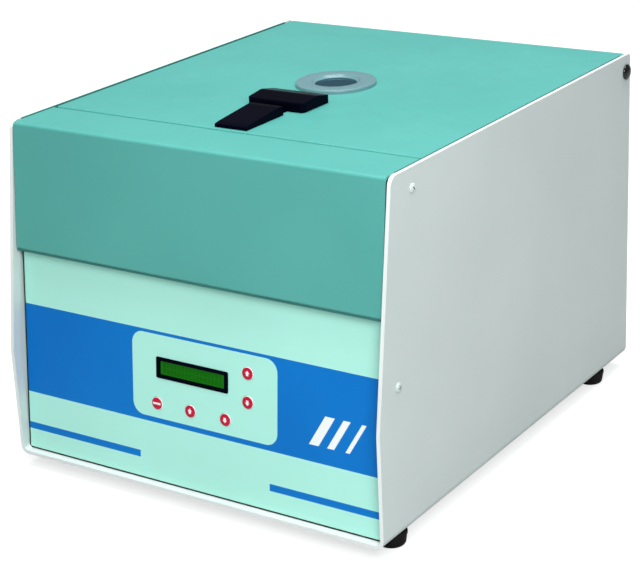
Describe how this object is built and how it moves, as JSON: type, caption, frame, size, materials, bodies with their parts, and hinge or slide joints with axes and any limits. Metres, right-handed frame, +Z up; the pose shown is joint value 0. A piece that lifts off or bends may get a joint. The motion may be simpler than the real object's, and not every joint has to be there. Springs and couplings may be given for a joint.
{
  "type": "cytocentrifuge",
  "caption": "Bench cytocentrifuge: leaning keypad panel under a teal cap, flat hinged lid with a sliding latch and sight disc, and a rotor of hinged slide holders inside.",
  "frame": {"origin": "on the floor under the middle of the body", "axes": "+Z up, -Y towards the front where the keys are, +X to the right seen from the front"},
  "size_m": [0.38, 0.444, 0.3162],
  "materials": {
    "case_paint": "fine textured powder coat",
    "teal_paint": "semi-gloss textured paint",
    "lid_paint": "semi-gloss textured paint",
    "panel_paint": "semi-gloss paint",
    "panel_print": "printed film, satin",
    "black_plastic": "moulded, satin",
    "black_gloss": "moulded, glossy",
    "black_rubber": "matt rubber",
    "display_glass": "backlit display, satin",
    "circuit_board": "solder mask",
    "deck_steel": "plated, satin",
    "chamber_steel": "brushed stainless",
    "bright_steel": "bright plated",
    "clip_steel": "brushed stainless",
    "cast_alloy": "machined alloy",
    "motor_paint": "matt paint",
    "white_plastic": "moulded, satin",
    "port_plastic": "tinted acrylic",
    "port_glass": "tinted window",
    "switch_green": "translucent rocker",
    "key_red": "moulded key caps, satin"
  },
  "bodies": {
    "housing": {"outer_wrap": "case_paint", "front_cover": "teal_paint", "control_panel": "panel_paint", "panel_film": "panel_print", "display_bezel": "black_plastic", "display_glass": "display_glass", "display_board": "circuit_board", "control_board": "circuit_board", "deck_plate": "deck_steel", "chamber_bowl": "chamber_steel", "chamber_gasket": "black_rubber", "motor_plate": "deck_steel", "motor_mounts": "black_rubber", "motor_housing": "motor_paint", "motor_end_bells": "cast_alloy", "motor_bearings": "bright_steel", "shaft_boot": "black_rubber", "rear_panel": "case_paint", "power_inlet": "black_plastic", "switch_frame": "black_plastic", "fuse_holder": "black_plastic", "power_board": "circuit_board", "transformer": "motor_paint", "rubber_feet": "black_rubber", "case_screws": "bright_steel", "hinge_pins": "bright_steel", "hinge_caps": "black_gloss", "lid_lock": "black_plastic"},
    "lid": {"lid_panel": "lid_paint", "lid_liner": "chamber_steel", "port_disc": "port_plastic", "port_window": "port_glass", "port_sleeve": "white_plastic", "latch_slab": "black_gloss", "bolt_guide": "deck_steel"},
    "latch": {"latch_grip": "black_gloss", "latch_bolt": "bright_steel"},
    "stop_key": {"key_stop": "key_red"},
    "start_key": {"key_start": "key_red"},
    "menu_key": {"key_menu": "key_red"},
    "up_key": {"key_up": "key_red"},
    "down_key": {"key_down": "key_red"},
    "rocker": {"switch_rocker": "switch_green"},
    "rotor": {"motor_shaft": "bright_steel", "rotor_body": "cast_alloy", "rotor_knob": "black_gloss"},
    "holder_1": {"slide_clip_1": "clip_steel", "sample_chamber_1": "white_plastic"},
    "holder_2": {"slide_clip_2": "clip_steel", "sample_chamber_2": "white_plastic"},
    "holder_3": {"slide_clip_3": "clip_steel", "sample_chamber_3": "white_plastic"},
    "holder_4": {"slide_clip_4": "clip_steel", "sample_chamber_4": "white_plastic"},
    "holder_5": {"slide_clip_5": "clip_steel", "sample_chamber_5": "white_plastic"},
    "holder_6": {"slide_clip_6": "clip_steel", "sample_chamber_6": "white_plastic"}
  },
  "joints": [
    {"name": "lid_hinge", "type": "hinge", "parent": "housing", "child": "lid", "pos_m": [0, 0.213, 0.291], "axis": [-1, 0, 0], "range_deg": [0, 95]},
    {"name": "latch_slide", "type": "slide", "parent": "lid", "child": "latch", "axis": [0, -1, 0], "range_m": [0, 0.01]},
    {"name": "stop_key_press", "type": "slide", "parent": "housing", "child": "stop_key", "axis": [0, 0.9955, -0.0946], "range_m": [0, 0.0005], "stiffness_N_per_m": 2000, "springref_m": -0.0005},
    {"name": "start_key_press", "type": "slide", "parent": "housing", "child": "start_key", "axis": [0, 0.9955, -0.0946], "range_m": [0, 0.0005], "stiffness_N_per_m": 2000, "springref_m": -0.0005},
    {"name": "menu_key_press", "type": "slide", "parent": "housing", "child": "menu_key", "axis": [0, 0.9955, -0.0946], "range_m": [0, 0.0005], "stiffness_N_per_m": 2000, "springref_m": -0.0005},
    {"name": "up_key_press", "type": "slide", "parent": "housing", "child": "up_key", "axis": [0, 0.9955, -0.0946], "range_m": [0, 0.0005], "stiffness_N_per_m": 2000, "springref_m": -0.0005},
    {"name": "down_key_press", "type": "slide", "parent": "housing", "child": "down_key", "axis": [0, 0.9955, -0.0946], "range_m": [0, 0.0005], "stiffness_N_per_m": 2000, "springref_m": -0.0005},
    {"name": "power_switch_tilt", "type": "hinge", "parent": "housing", "child": "rocker", "pos_m": [-0.0635, 0.213, 0.062], "axis": [0, 0, 1], "range_deg": [0, 16]},
    {"name": "rotor_spin", "type": "hinge", "parent": "housing", "child": "rotor", "pos_m": [0, 0.0205, 0.236], "axis": [0, 0, 1], "continuous": true},
    {"name": "holder_1_swing", "type": "hinge", "parent": "rotor", "child": "holder_1", "pos_m": [0.05075, 0.1084, 0.236], "axis": [0.866, -0.5, 0], "range_deg": [0, 6]},
    {"name": "holder_2_swing", "type": "hinge", "parent": "rotor", "child": "holder_2", "pos_m": [-0.05075, 0.1084, 0.236], "axis": [0.866, 0.5, 0], "range_deg": [0, 6]},
    {"name": "holder_3_swing", "type": "hinge", "parent": "rotor", "child": "holder_3", "pos_m": [-0.1015, 0.0205, 0.236], "axis": [0, 1, 0], "range_deg": [0, 6]},
    {"name": "holder_4_swing", "type": "hinge", "parent": "rotor", "child": "holder_4", "pos_m": [-0.05075, -0.0674, 0.236], "axis": [-0.866, 0.5, 0], "range_deg": [0, 6]},
    {"name": "holder_5_swing", "type": "hinge", "parent": "rotor", "child": "holder_5", "pos_m": [0.05075, -0.0674, 0.236], "axis": [-0.866, -0.5, 0], "range_deg": [0, 6]},
    {"name": "holder_6_swing", "type": "hinge", "parent": "rotor", "child": "holder_6", "pos_m": [0.1015, 0.0205, 0.236], "axis": [0, -1, 0], "range_deg": [0, 6]}
  ]
}
